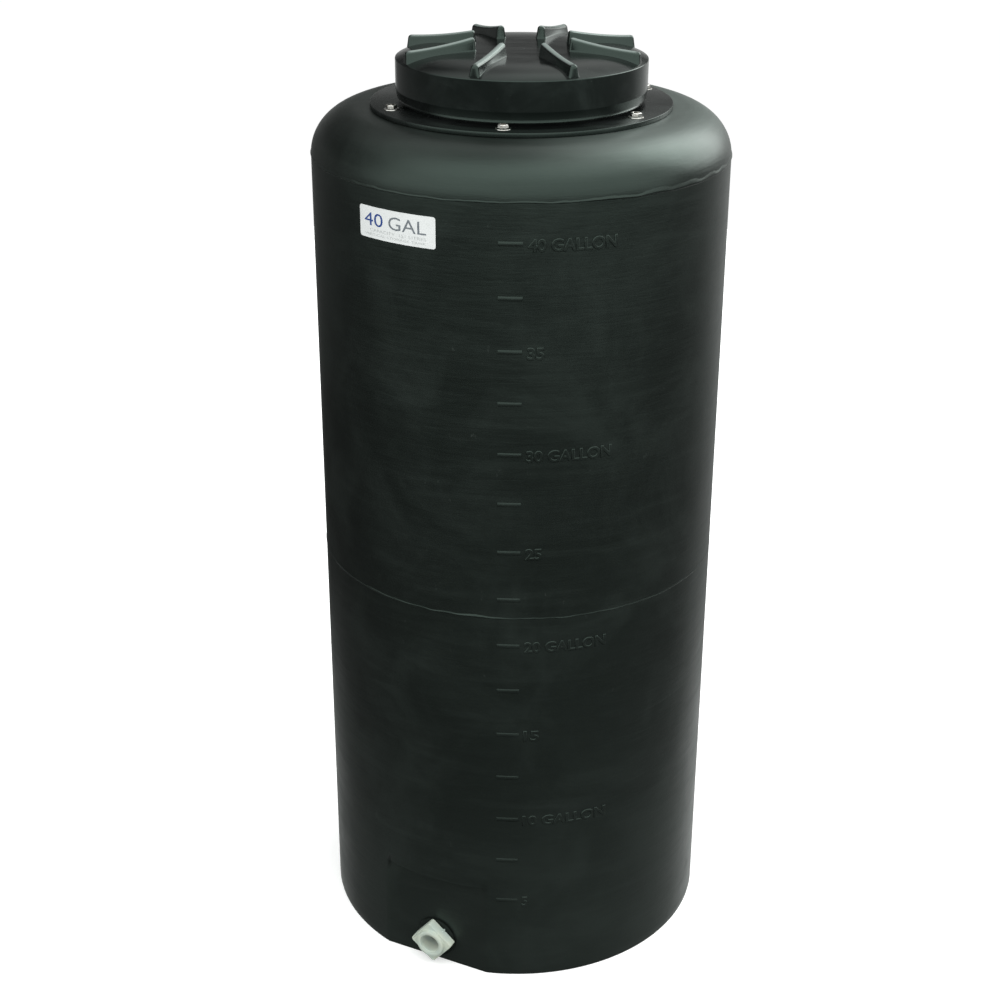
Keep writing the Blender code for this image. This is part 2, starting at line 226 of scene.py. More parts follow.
class Finish(NodeBench):  # one material, with the nodes that vary it over the surface
    def __init__(self, name, **fixed):
        self.material = bpy.data.materials.new(name)
        self.material.use_nodes = True
        super().__init__(self.material.node_tree)
        self.shader = self.tree.nodes["Principled BSDF"]
        for label, value in fixed.items():
            self.shader.inputs[label.replace("_", " ")].default_value = value
        self.place = self.node("ShaderNodeTexCoord", {}, {}, "Object")

    def cloud(self, size, stretch=(1, 1, 1), detail=3, rough=0.5, warp=0.0, place=None):
        # Noise whose lumps are about this size in metres, longer where a stretch is over 1
        scale = [1 / (size * along) for along in stretch]
        spot = self.node("ShaderNodeMapping", {}, {"Vector": place or self.place, "Scale": scale})
        return self.node("ShaderNodeTexNoise", {}, {
            "Vector": spot, "Scale": 1.0, "Detail": detail, "Roughness": rough, "Distortion": warp,
        })

    def coordinate(self, axis):
        return self.node("ShaderNodeSeparateXYZ", {}, {0: self.place}, axis)

    def radius(self):
        across, deep = self.coordinate(0), self.coordinate(1)
        return self.node("ShaderNodeMath", {"operation": "SQRT"}, {0: across * across + deep * deep})

    def unrolled(self, radius):  # metres round the axis, out from it and up it
        turn = self.node(
            "ShaderNodeMath", {"operation": "ARCTAN2"}, {0: self.coordinate(0), 1: 0 - self.coordinate(1)}
        )
        return self.node("ShaderNodeCombineXYZ", {}, {
            0: turn * radius, 1: self.radius(), 2: self.coordinate(2),
        })

    def blend(self, share, first, second):
        colours = {6: (*first, 1) if isinstance(first, tuple) else first, 7: (*second, 1)}
        return self.node("ShaderNodeMix", {"data_type": "RGBA"}, {0: share, **colours}, 2)

    def relief(self, height, depth, under=None):
        values = {"Height": height, "Distance": depth, "Strength": 1.0}
        if under:
            values["Normal"] = under
        return self.node("ShaderNodeBump", {}, values)

    def wear(self, **readings):
        for label, reading in readings.items():
            self.tree.links.new(reading.socket, self.shader.inputs[label.replace("_", " ")])
        return self.material


# Finishes

greenish = (0.74, 1.0, 0.88, 1)  # the tint of the black plastics' reflections


def bodyFinish():
    # Rotomoulded polyethylene: satin black, brushed round the axis, with haze, a few faint scuffs, painted
    # bounce light that pales it towards the floor, and a pale bloom on the shoulder's right that is partly a
    # painted highlight
    look = {
        "black": (0.0030, 0.0034, 0.0031), "hazeAndBounce": (0.0080, 0.0095, 0.0087), "scuff": (0.030, 0.033, 0.031),
        # bloom: a pale bloom on the shoulder's right that is partly a painted highlight
        "bloom": (0.075, 0.090, 0.083), "bloomAndHighlightUp": (0.985, 1.014), "bloomAndHighlightAcross": (-0.04, 0.15),
        "shine": 0.28, "brushRadius": 0.2, "floorBounceTop": 0.30, "waveDepth": 0.0009, "smearDepth": 0.00022,
        "streakDepth": 0.00006, "peelDepth": 0.00005, "grainDepth": 0.000014,
    }
    finish = Finish("blackPolyethylene", IOR=1.5, Specular_Tint=greenish)
    mottle = finish.cloud(0.11, detail=5, rough=0.62, warp=0.6)
    fine = finish.cloud(0.012, detail=4, rough=0.6)
    marks = finish.cloud(0.006, stretch=(1, 1, 3), detail=4, rough=0.6, warp=0.8)
    bands = finish.cloud(0.16, stretch=(1, 1, 0.12), detail=4, rough=0.6, warp=0.4)
    around = finish.unrolled(look["brushRadius"])
    streaks = finish.cloud(0.0022, stretch=(16, 1, 1), detail=4, rough=0.6, warp=0.3, place=around)
    smears = finish.cloud(0.009, stretch=(7, 1, 1), detail=4, rough=0.65, warp=0.5, place=around)
    # Painted bounce light: the body is paler towards the floor, as if lit from it
    floorBounce = finish.ramp(finish.coordinate(2), look["floorBounceTop"], 0.0)
    hazeAndBounce = finish.ramp(mottle, 0.38, 0.72) * 0.7 + finish.ramp(bands, 0.5, 0.75) * 0.4 + floorBounce * 0.5
    scuffs = finish.ramp(marks, 0.66, 0.74) * finish.ramp(bands, 0.5, 0.62)
    # A pale bloom, partly a painted highlight: paler high on the shoulder's right
    bloom = finish.ramp(finish.coordinate(2), *look["bloomAndHighlightUp"])
    bloom = bloom * finish.ramp(finish.coordinate(0), *look["bloomAndHighlightAcross"])
    colour = finish.blend(hazeAndBounce, look["black"], look["hazeAndBounce"])
    colour = finish.blend(bloom * (0.55 + smears * 0.5), colour, look["bloom"])
    colour = finish.blend(scuffs * 0.4, colour, look["scuff"])
    roughness = look["shine"] + hazeAndBounce * 0.07 + fine * 0.05 + scuffs * 0.10 + smears * 0.10
    waves = finish.relief(finish.cloud(0.09, detail=2), look["waveDepth"])
    smeared = finish.relief(smears, look["smearDepth"], waves)
    brushed = finish.relief(streaks, look["streakDepth"], smeared)
    peel = finish.relief(finish.cloud(0.0045, detail=2), look["peelDepth"], brushed)
    grain = finish.relief(finish.cloud(0.0009, detail=2), look["grainDepth"], peel)
    return finish.wear(Base_Color=colour, Roughness=roughness, Normal=grain)


def glossFinish(name, shine, grips=None):
    # Injection-moulded black plastic: glossy, with flow lines, smears and fine rubs. Grips get a painted
    # highlight as a pale band along their top lines, which follow the sizes given.
    look = {
        "black": (0.0030, 0.0034, 0.0034), "bloom": (0.0066, 0.0074, 0.0074), "rub": (0.04, 0.042, 0.042),
        # crest: the colour of the painted highlight along the grips' top lines
        "crest": (0.17, 0.20, 0.19), "crestHighlightDrop": (-0.0020, -0.0005), "crestHighlightEnd": (0.0, 0.10),
        "waveDepth": 0.00022, "lineDepth": 0.00001,
    }
    finish = Finish(name, IOR=1.5, Specular_Tint=greenish)
    smear = finish.cloud(0.05, stretch=(2.2, 0.8, 1), detail=5, rough=0.65, warp=0.9)
    lines = finish.cloud(0.0016, stretch=(1, 1, 14), detail=3)
    rubs = finish.ramp(finish.cloud(0.0035, stretch=(1, 9, 1), detail=3), 0.70, 0.78)
    bloom = finish.ramp(smear, 0.4, 0.7)
    colour = finish.blend(bloom, look["black"], look["bloom"])
    colour = finish.blend(rubs * 0.1, colour, look["rub"])
    # A painted highlight: paler along the grips' top lines, fading out at their outer ends
    if grips:
        low, slope, curve = grips["crest"]
        share = (grips["gripOuter"] - finish.radius()) * (1 / (grips["gripOuter"] - grips["gripInner"]))
        drop = finish.coordinate(2) - (share * share * curve + share * slope + low)
        pale = finish.ramp(drop, *look["crestHighlightDrop"]) * finish.ramp(share, *look["crestHighlightEnd"])
        colour = finish.blend(pale, colour, look["crest"])
    roughness = shine + bloom * 0.09 + lines * 0.04 + rubs * 0.15
    waves = finish.relief(finish.cloud(0.045, detail=2), look["waveDepth"])
    flow = finish.relief(lines, look["lineDepth"], waves)
    return finish.wear(Base_Color=colour, Roughness=roughness, Normal=flow)


def whiteFinish():
    # Undyed moulded plastic, faintly yellow, with a matt skin and specks of grime
    look = {"white": (0.41, 0.48, 0.44), "cream": (0.47, 0.51, 0.43), "grime": (0.26, 0.30, 0.27)}
    finish = Finish("whitePlastic", IOR=1.5)
    patch = finish.cloud(0.02, detail=4, rough=0.6)
    specks = finish.ramp(finish.cloud(0.0016, detail=3), 0.60, 0.72)
    colour = finish.blend(finish.ramp(patch, 0.35, 0.65), look["white"], look["cream"])
    colour = finish.blend(specks * 0.35, colour, look["grime"])
    roughness = 0.36 + patch * 0.12 + specks * 0.1
    skin = finish.relief(finish.cloud(0.0012, detail=3), 0.00003)
    return finish.wear(Base_Color=colour, Roughness=roughness, Normal=skin)


def rubberFinish():
    # Matt, with a faint bloom
    look = {"black": (0.0036, 0.0042, 0.0038), "bloom": (0.0080, 0.0092, 0.0085)}
    finish = Finish("blackRubber", IOR=1.3, Specular_Tint=greenish)
    bloom = finish.ramp(finish.cloud(0.006, detail=4, rough=0.65), 0.42, 0.70)
    colour = finish.blend(bloom, look["black"], look["bloom"])
    grain = finish.relief(finish.cloud(0.0007, detail=3), 0.00004)
    return finish.wear(Base_Color=colour, Roughness=0.55 + bloom * 0.25, Normal=grain)


def steelFinish(name, bright, dull):
    # Stainless, with smears and a warm tint in the dull spots
    finish = Finish(name, Metallic=1.0)
    tarnish = finish.ramp(finish.cloud(0.0035, detail=4, rough=0.6), 0.45, 0.68)
    lines = finish.cloud(0.0004, stretch=(1, 1, 6), detail=2)
    colour = finish.blend(tarnish, bright, dull)
    roughness = 0.16 + tarnish * 0.18 + lines * 0.05
    return finish.wear(Base_Color=colour, Roughness=roughness, Normal=finish.relief(lines, 0.000008))


def labelFinish():
    # Glossy white film, a little soiled and not quite flat
    look = {"white": (0.80, 0.82, 0.82), "dirty": (0.62, 0.64, 0.62)}
    finish = Finish("labelFilm", IOR=1.46)
    stain = finish.ramp(finish.cloud(0.014, detail=5, rough=0.65), 0.5, 0.75)
    colour = finish.blend(stain * 0.6, look["white"], look["dirty"])
    ripples = finish.relief(finish.cloud(0.012, detail=2), 0.00008)
    return finish.wear(Base_Color=colour, Roughness=0.28 + stain * 0.2, Normal=ripples)


def inkFinish(name, strong, faded):
    # Printed ink, thin in places
    finish = Finish(name, IOR=1.46)
    thin = finish.ramp(finish.cloud(0.0012, detail=3), 0.45, 0.70)
    colour = finish.blend(thin * 0.7, strong, faded)
    return finish.wear(Base_Color=colour, Roughness=0.34 + thin * 0.15)


finishes = {
    "body": bodyFinish(), "gloss": glossFinish("glossBlack", 0.12), "ring": glossFinish("satinBlack", 0.20),
    "white": whiteFinish(), "rubber": rubberFinish(), "label": labelFinish(),
    "steel": steelFinish("stainlessSteel", (0.72, 0.71, 0.68), (0.50, 0.47, 0.41)),
    "blueInk": inkFinish("blueInk", (0.020, 0.055, 0.23), (0.07, 0.13, 0.34)),
    "threads": steelFinish("dullSteel", (0.20, 0.19, 0.17), (0.10, 0.09, 0.08)),
    "paleInk": inkFinish("paleInk", (0.46, 0.48, 0.48), (0.62, 0.64, 0.64)),
    "greyInk": inkFinish("greyInk", (0.15, 0.17, 0.19), (0.30, 0.32, 0.34)),
}
print("Finishes made:", len(finishes))


# The moulded tank

tank = {
    "radius": 0.235, "wall": 0.0063, "footRound": 0.0020, "steps": 192, "floorRing": 0.12,
    "lowRows": (0.012, 0.03, 0.05, 0.07, 0.09, 0.11, 0.1255, 0.1265, 0.14), "rows": 26,
    "seam": 0.9675, "shoulderTop": 1.0177, "shoulderRows": 20, "flatRadius": 0.181, "topRing": 0.165,
    "mouth": 0.1265, "outletAzimuth": -25.4, "flatDistance": 0.2248, "flatTop": 0.126, "flatReach": 0.19,
    "creases": (-42.3, -8.5), "outletHeight": 0.033, "outletHole": 0.017,
}
outletDirection = turned(tank["outletAzimuth"])
outletPlace = (
    Matrix.Rotation(math.radians(tank["outletAzimuth"]), 4, "Z")
    @ Matrix.Translation((0, 0, tank["outletHeight"]))
    @ Matrix.Rotation(math.radians(90), 4, "X")
)


def makeTankShell():
    radius, foot = tank["radius"], tank["footRound"]
    seam, top = tank["seam"], tank["shoulderTop"]
    outline = [(0, 0.0), (tank["floorRing"], 0.0), (radius - foot * 2, 0.0)]
    outline += list(reversed(quarterRound((radius - foot, foot), foot, -foot, 4)))
    outline += [(radius, height) for height in tank["lowRows"]]
    start, rows = tank["lowRows"][-1], tank["rows"]
    outline += [(radius, start + step * (seam - start) / rows) for step in range(1, rows)]
    flat = tank["flatRadius"]
    outline += quarterRound((flat, seam), radius - flat, top - seam, tank["shoulderRows"])
    outline += [(tank["topRing"], top), (tank["mouth"], top)]
    bm = spinOutline(outline, tank["steps"])

    # The outlet's flat: creases are cut where it meets the round wall, then the wall is pushed in
    for azimuth in tank["creases"]:
        side = Vector((math.cos(math.radians(azimuth)), math.sin(math.radians(azimuth)), 0))
        parts = {}
        for face in bm.faces:
            middle = face.calc_center_median()
            if middle.z < tank["flatTop"] + 0.002 and middle.dot(outletDirection) > tank["flatReach"]:
                parts.update(dict.fromkeys((face, *face.edges, *face.verts)))
        bmesh.ops.bisect_plane(bm, geom=list(parts), plane_co=(0, 0, 0), plane_no=side, dist=1e-6)
    for vert in bm.verts:
        inset = radius - vert.co.xy.length  # keeps the foot's rounding along the flat
        beyond = vert.co.dot(outletDirection) - tank["flatDistance"] + inset
        if beyond > 0 and inset < 0.01 and vert.co.z < tank["flatTop"]:
            vert.co -= outletDirection * beyond
    shell = makePiece("tankShell", bm, finishes["body"])
    wall = shell.modifiers.new("wall", "SOLIDIFY")
    wall.thickness = tank["wall"]
    wall.offset = -1
    hole = bmesh.new()
    bmesh.ops.create_cone(
        hole, cap_ends=True, segments=48, radius1=tank["outletHole"], radius2=tank["outletHole"], depth=0.06,
        matrix=outletPlace @ Matrix.Translation((0, 0, tank["flatDistance"])),
    )
    cutter = makePiece("holeCutter", hole, finishes["body"])
    cut = shell.modifiers.new("outletHole", "BOOLEAN")
    cut.operation = "DIFFERENCE"
    cut.solver = "EXACT"
    cut.object = cutter
    applyModifiers(shell)
    bpy.data.objects.remove(cutter, do_unlink=True)
    places = ("front_right", "right_front", "right_back", "back_right",
              "back_left", "left_back", "left_front", "front_left")
    stoodFor = ["tank_floor", "outlet_panel"]
    stoodFor += ["wall_" + place for place in places] + ["shoulder_" + place for place in places]
    return fixPiece(shell, "tank", "black_polyethylene", *stoodFor)


makeTankShell()
print("Tank shell done")

# The lines where the mould's halves met: a lip of flash whose width and height wander

shoulderLine = {
    "steps": 900,
    "low": {-180: 0.9665, -70: 0.9668, -30: 0.9668, 0: 0.9672, 30: 0.9668, 44: 0.9655, 75: 0.9660, 180: 0.9665},
    "width": {-180: 0.003, -60: 0.0035, -20: 0.0022, 10: 0.0025, 30: 0.004, 40: 0.0062, 75: 0.0062, 95: 0.004,
              180: 0.003},
    "proud": {-180: 0.0005, -60: 0.0007, 0: 0.0004, 25: 0.0007, 45: 0.0008, 80: 0.0008, 180: 0.0005},
}
middleLine = {
    "steps": 900,
    "low": {-180: 0.4945, 180: 0.4945},
    "width": {-180: 0.0022, -25: 0.0022, -12: 0.0032, 0: 0.0022, 180: 0.0022},
    "proud": {-180: 0.0003, -30: 0.0004, -15: 0.0007, 0: 0.0003, 180: 0.0003},
}


def makePartingLine(name, line, seed):
    # A closed lip: its underside slopes out to a nose, and its upper side runs back to the wall. It is spun
    # a millimetre out and up, and then drawn to the height and width that each azimuth has.
    outline = [(-0.0012, 0.0), (0.0, 0.0), (0.4, 0.08), (0.75, 0.19), (0.95, 0.29), (1.0, 0.38), (0.93, 0.46),
               (0.72, 0.6), (0.25, 0.85), (0.0, 1.0), (-0.0012, 1.05)]
    unit, most = 0.001, 0.00085
    outline = [(tank["radius"] + across * unit, up * unit) for across, up in outline]
    bm = spinOutline(outline, line["steps"], True)
    shapes = {}
    for vert in bm.verts:
        azimuth = azimuthOf(vert.co)
        across = (vert.co.xy.length - tank["radius"]) / unit
        up = vert.co.z / unit
        step = round(azimuth, 2)
        if step not in shapes:
            shapes[step] = (
                between(line["proud"], azimuth) * (1 + 0.35 * ripple(azimuth, 9, seed)),
                between(line["width"], azimuth) * (1 + 0.30 * ripple(azimuth, 14, seed + 1)),
                between(line["low"], azimuth) + 0.0006 * ripple(azimuth, 6, seed + 2),
                0.0003 * ripple(azimuth, 40, seed + 3),
            )
        proud, width, low, edge = shapes[step]
        height = low + (width + edge) * up
        reach = tank["radius"] + (min(across * proud, most) if across > 0 else across * unit)
        if height > tank["seam"]:
            fall = (height - tank["seam"]) / (tank["shoulderTop"] - tank["seam"])
            reach += (tank["radius"] - tank["flatRadius"]) * (math.sqrt(1 - fall * fall) - 1)
        vert.co = turned(azimuth, reach, height)
    return fixPiece(makePiece(name, bm, finishes["body"], 60), "tank", "black_polyethylene")


makePartingLine("partingLineShoulder", shoulderLine, 3)
makePartingLine("partingLineMiddle", middleLine, 11)
print("Parting lines done")

# Level marks: a rib for each mark, raised numbers and words beside some

marks = {
    "bottom": -0.0046, "perGallon": 0.02325, "ribStart": -5.5, "ribEnd": 0.7, "ribHeight": 0.0050,
    "ribProud": 0.00055, "ribRound": 0.0004, "slope": 0.75, "crestAt": -0.1,
    "letterStart": 1.9, "letterProud": 0.00085, "letterBolder": 0.012, "capHeight": 0.0146, "drop": 0.0016,
    "gallons": [5 + 2.5 * step for step in range(15)],
    "words": {5: ("5", 1.9), 10: ("10 GALLON", 25.0), 15: ("15", 4.6), 20: ("20 GALLON", 23.4),
              25: ("25", 4.6), 30: ("30 GALLON", 23.4), 35: ("35", 4.6), 40: ("40 GALLON", 23.2)},
}


def flatText(words, extrude, rounding=0.0, bolder=0.0):
    curve = bpy.data.curves.new("words", "FONT")
    curve.body = words
    curve.offset = bolder
    curve.extrude = extrude
    curve.bevel_depth = rounding
    curve.bevel_resolution = 2
    curve.resolution_u = 4
    item = bpy.data.objects.new("words", curve)
    bpy.context.scene.collection.objects.link(item)
    bpy.context.view_layer.update()
    mesh = bpy.data.meshes.new_from_object(item.evaluated_get(bpy.context.evaluated_depsgraph_get()))
    bpy.data.objects.remove(item, do_unlink=True)
    bm = bmesh.new()
    bm.from_mesh(mesh)
    bpy.data.meshes.remove(mesh)
    return bm


def fitFlat(bm, width, height):  # puts flat work's lower left corner at the origin, at this size
    low = [min(vert.co[axis] for vert in bm.verts) for axis in (0, 1)]
    high = [max(vert.co[axis] for vert in bm.verts) for axis in (0, 1)]
    bmesh.ops.translate(bm, vec=(-low[0], -low[1], 0), verts=bm.verts)
    bmesh.ops.scale(bm, vec=(width / (high[0] - low[0]), height / (high[1] - low[1]), 1), verts=bm.verts)


def bendOnWall(bm, azimuth, height, every=0.003):
    # Flat work is cut every few millimetres and wrapped: x runs round the wall, y up it and z out from it
    slices = int(max(vert.co.x for vert in bm.verts) / every)
    for step in range(1, slices + 1):
        parts = bm.verts[:] + bm.edges[:] + bm.faces[:]
        bmesh.ops.bisect_plane(bm, geom=parts, plane_co=(every * step, 0, 0), plane_no=(1, 0, 0), dist=1e-6)
    for vert in bm.verts:
        vert.co = turned(
            azimuth + math.degrees(vert.co.x / tank["radius"]), tank["radius"] + vert.co.z, height + vert.co.y
        )


def makeLevelMarks():
    ribs = bmesh.new()
    letters = bmesh.new()
    length = math.radians(marks["ribEnd"] - marks["ribStart"]) * tank["radius"]
    for gallons in marks["gallons"]:
        height = marks["bottom"] + marks["perGallon"] * gallons
        rib = bmesh.new()
        bmesh.ops.create_cube(rib, size=1.0)
        bmesh.ops.scale(rib, vec=(length, marks["ribHeight"], marks["ribProud"] * 2), verts=rib.verts)
        bmesh.ops.translate(rib, vec=(length / 2, 0, 0), verts=rib.verts)
        bmesh.ops.bisect_plane(
            rib, geom=rib.verts[:] + rib.edges[:] + rib.faces[:],
            plane_co=(0, marks["crestAt"] * marks["ribHeight"], 0), plane_no=(0, 1, 0),
        )
        for vert in rib.verts:  # the face falls away above and below its crest, as moulded marks do
            away = abs(vert.co.y / marks["ribHeight"] - marks["crestAt"]) / (0.5 + abs(marks["crestAt"]))
            vert.co.z *= 1 - marks["slope"] * away
        roundEdges(rib, marks["ribRound"], 2, 15)
        bendOnWall(rib, marks["ribStart"], height)
        joinInto(ribs, rib)
        if gallons in marks["words"]:
            words, sweep = marks["words"][gallons]
            text = flatText(words, 0.005, 0.045, marks["letterBolder"])  # stands 0.05 out until it is scaled
            bmesh.ops.scale(text, vec=(1, 1, marks["letterProud"] / 0.05), verts=text.verts)
            fitFlat(text, math.radians(sweep) * tank["radius"], marks["capHeight"])
            bendOnWall(text, marks["letterStart"], height - marks["capHeight"] / 2 - marks["drop"])
            joinInto(letters, text)
    fixPiece(makePiece("levelMarkRibs", cleaned(ribs), finishes["body"]), "tank", "black_polyethylene")
    fixPiece(makePiece("levelMarkLetters", letters, finishes["body"]), "tank", "black_polyethylene")


makeLevelMarks()
print("Level marks done")

# The white label, with a plain capacity printed on it

label = {
    "start": -45.5, "end": -21.6, "low": 0.9143, "high": 0.9480, "thick": 0.00025, "corner": 0.0028,
    "inkThick": 0.00005,
    # the words, how far across and up the label they start, their width and height, and the ink
    "prints": {
        "labelCapacity": ("40", 0.0070, 0.0133, 0.0265, 0.0140, "blueInk"),
        "labelUnit": ("GAL", 0.0410, 0.0133, 0.0465, 0.0140, "greyInk"),
        "labelLitres": ("CAPACITY  151 LITRES", 0.0150, 0.0074, 0.0725, 0.0032, "paleInk"),
        "labelKind": ("VERTICAL STORAGE TANK", 0.0075, 0.0030, 0.0800, 0.0025, "paleInk"),
    },
}


def makeLabel():
    width = math.radians(label["end"] - label["start"]) * tank["radius"]
    height = label["high"] - label["low"]
    film = bmesh.new()
    bmesh.ops.create_cube(film, size=1.0)
    bmesh.ops.scale(film, vec=(width, height, label["thick"] * 2), verts=film.verts)
    bmesh.ops.translate(film, vec=(width / 2, height / 2, 0), verts=film.verts)
    corners = [edge for edge in film.edges if abs(edge.verts[0].co.z - edge.verts[1].co.z) > 1e-5]
    bmesh.ops.bevel(
        film, geom=corners, offset=label["corner"], segments=6, profile=0.5, affect="EDGES", material=-1
    )
    bendOnWall(film, label["start"], label["low"])
    fixPiece(makePiece("capacityLabel", film, finishes["label"]), "tank", "white_plastic")

    for name, (words, across, up, wide, tall, ink) in label["prints"].items():
        text = flatText(words, 0.5)
        bmesh.ops.scale(text, vec=(1, 1, label["inkThick"] / 0.5), verts=text.verts)
        fitFlat(text, wide, tall)
        bmesh.ops.translate(text, vec=(across, up, label["thick"]), verts=text.verts)
        bendOnWall(text, label["start"], label["low"])
        fixPiece(makePiece(name, text, finishes[ink]), "tank", "white_plastic")


makeLabel()
print("Label done")

# The manway ring: a flange bolted on the shoulder, with the neck that the lid screws on

ring = {
    "radius": 0.168, "bottom": 1.0180, "top": 1.0230, "neckInner": 0.1265, "neckOuter": 0.1315,
    "neckTop": 1.0610, "steps": 192, "fillet": 0.004, "edgeRound": 0.0005,
    "threadStart": 1.0330, "threadDepth": 0.0020, "pitch": 0.010, "threadTurns": 2, "threadSteps": 96,
}


def makeManwayRing():
    inner, outer, fillet = ring["neckInner"], ring["neckOuter"], ring["fillet"]
    outline = [(inner, ring["bottom"]), (ring["radius"], ring["bottom"]), (ring["radius"], ring["top"])]
    outline += reversed(quarterRound((outer + fillet, ring["top"] + fillet), -fillet, -fillet, 5))
    outline += [(outer, ring["neckTop"]), (inner, ring["neckTop"])]
    bm = spinOutline(outline, ring["steps"], True)
    roundEdges(bm, ring["edgeRound"], 3)
    addThread(
        bm, outer - 0.0002, ring["threadDepth"], ring["pitch"], ring["threadStart"],
        ring["threadTurns"], ring["threadSteps"],
    )
    return fixPiece(makePiece("manwayRing", bm, finishes["ring"]), "tank", "gloss_black", "manway_ring")


makeManwayRing()
print("Manway ring done")

# Six bolts, each with a flat washer and a nut

bolt = {
    "count": 6, "circle": 0.1525, "first": -7.0, "twist": 17, "radius": 0.003175, "acrossFlats": 0.0111,
    "headBottom": 1.0071, "headThick": 0.004, "washerBottom": 1.0233, "washerThick": 0.0012,
    "washerRadius": 0.0085, "washerHole": 0.0036, "washerRound": 0.0003,
    "nutBottom": 1.0248, "nutThick": 0.0040, "top": 1.0293, "endRound": 0.0006,
    "threadDepth": 0.0005, "pitch": 0.00127, "threadTurns": 8,
}


def hexRing(inner, acrossFlats, bottom, thick, steps, chamfer=0.58):
    # A spun ring whose outer rows are drawn out to six flats, with the corners turned off
    half, top = acrossFlats / 2, bottom + thick
    turnedOff = half * 0.96
    lip = min(0.0004, thick / 8)
    bm = spinOutline([
        (inner, bottom), (turnedOff, bottom), (half, bottom + lip), (half, top - lip), (turnedOff, top),
        (inner + lip, top), (inner, top - lip),
    ], steps, True, 6)
    for vert in bm.verts:
        if vert.co.xy.length > (turnedOff + half) / 2:
            angle = math.degrees(math.atan2(vert.co.y, vert.co.x))
            stretch = 1 / math.cos(math.radians((angle + 30) % 60 - 30))
            fall = half * (stretch - 1) * chamfer
            vert.co.z += fall if vert.co.z < (bottom + top) / 2 else -fall
            vert.co.x *= stretch
            vert.co.y *= stretch
    return bm


def makeFasteners():
    for index in range(bolt["count"]):
        number = str(index + 1)
        azimuth = bolt["first"] + index * 360 / bolt["count"]
        twist = Matrix.Rotation(math.radians(index * bolt["twist"]), 4, "Z")
        spot = Matrix.Translation(turned(azimuth, bolt["circle"])) @ twist

        core, top, turns = bolt["radius"] - 0.0004, bolt["top"], bolt["threadTurns"]
        stud = spinOutline([
            (0, bolt["headBottom"]), (core, bolt["headBottom"]), (core, top - bolt["endRound"]),
            (core - bolt["endRound"], top), (0, top),
        ], 24)
        start = top - 0.0008 - turns * bolt["pitch"]
        addThread(stud, core - 0.0001, bolt["threadDepth"], bolt["pitch"], start, turns, 24, 0.8)
        joinInto(stud, hexRing(core, bolt["acrossFlats"], bolt["headBottom"], bolt["headThick"], 48))
        bmesh.ops.transform(stud, matrix=spot, verts=stud.verts)
        stud = makePiece("bolt" + number, stud, finishes["threads"])
        fixPiece(stud, "tank", "stainless_steel", "bolt_" + number)

        bottom, top = bolt["washerBottom"], bolt["washerBottom"] + bolt["washerThick"]
        inner, outer = bolt["washerHole"], bolt["washerRadius"]
        washer = spinOutline([(inner, bottom), (outer, bottom), (outer, top), (inner, top)], 40, True)
        roundEdges(washer, bolt["washerRound"], 2)
        bmesh.ops.transform(washer, matrix=spot, verts=washer.verts)
        washer = makePiece("washer" + number, washer, finishes["steel"])
        fixPiece(washer, "tank", "stainless_steel", "washer_" + number)

        nut = hexRing(bolt["radius"] + 0.0001, bolt["acrossFlats"], bolt["nutBottom"], bolt["nutThick"], 48)
        bmesh.ops.transform(nut, matrix=spot, verts=nut.verts)
        nut = makePiece("nut" + number, nut, finishes["steel"], 25)
        fixPiece(nut, "tank", "stainless_steel", "nut_" + number)
        for piece in (stud, washer, nut):
            piece.visible_glossy = False  # keeps its mirror image out of the lid's skirt


makeFasteners()
print("Fasteners done")

# The screw lid

lid = {
    "radius": 0.1395, "steps": 192, "skirtWall": 0.004, "skirtBottom": 1.0295, "rimTop": 1.0703,
    "skirtRows": ((0.0004, 1.0370), (0, 1.0378), (0, 1.0383), (0, 1.0520)),  # how far in, and the height
    "underside": 1.0645, "undersideRows": (0, 0.03, 0.06, 0.08, 0.095, 0.105, 0.113), "undersideEdge": 0.121,
    "edgeRound": 0.0010, "edgeTurn": 66, "domeRise": 0.0100, "domePower": 6, "domeWall": 0.005, "domeRows": 26,
    "threadStart": 1.0315, "threadDepth": 0.0022, "pitch": 0.010, "threadTurns": 2, "threadSteps": 96,
    "grips": 8, "firstGrip": 23.7, "gripInner": 0.056, "gripOuter": 0.137, "gripHalf": 0.0053, "gripRows": 14,
    "crestHalf": 0.0045, "endShape": 3, "crest": (1.0846, 0.0033, 0.0072),  # its outer height, slope and curve
    "sealRound": 0.0006,
}
lid["domeEdge"] = lid["radius"] - lid["edgeRound"] * (1 - math.cos(math.radians(lid["edgeTurn"])))
# The grips' finish has a painted highlight along their top lines
finishes["grips"] = glossFinish("gripBlack", 0.13, lid)


def domeHeight(radius):
    share = min(radius / lid["domeEdge"], 1)
    return lid["rimTop"] + lid["domeRise"] * (1 - share ** lid["domePower"])


def crestHeight(across):  # the grips' top line, which curves up towards the middle
    low, slope, curve = lid["crest"]
    share = (lid["gripOuter"] - across) / (lid["gripOuter"] - lid["gripInner"])
    return low + slope * share + curve * share * share


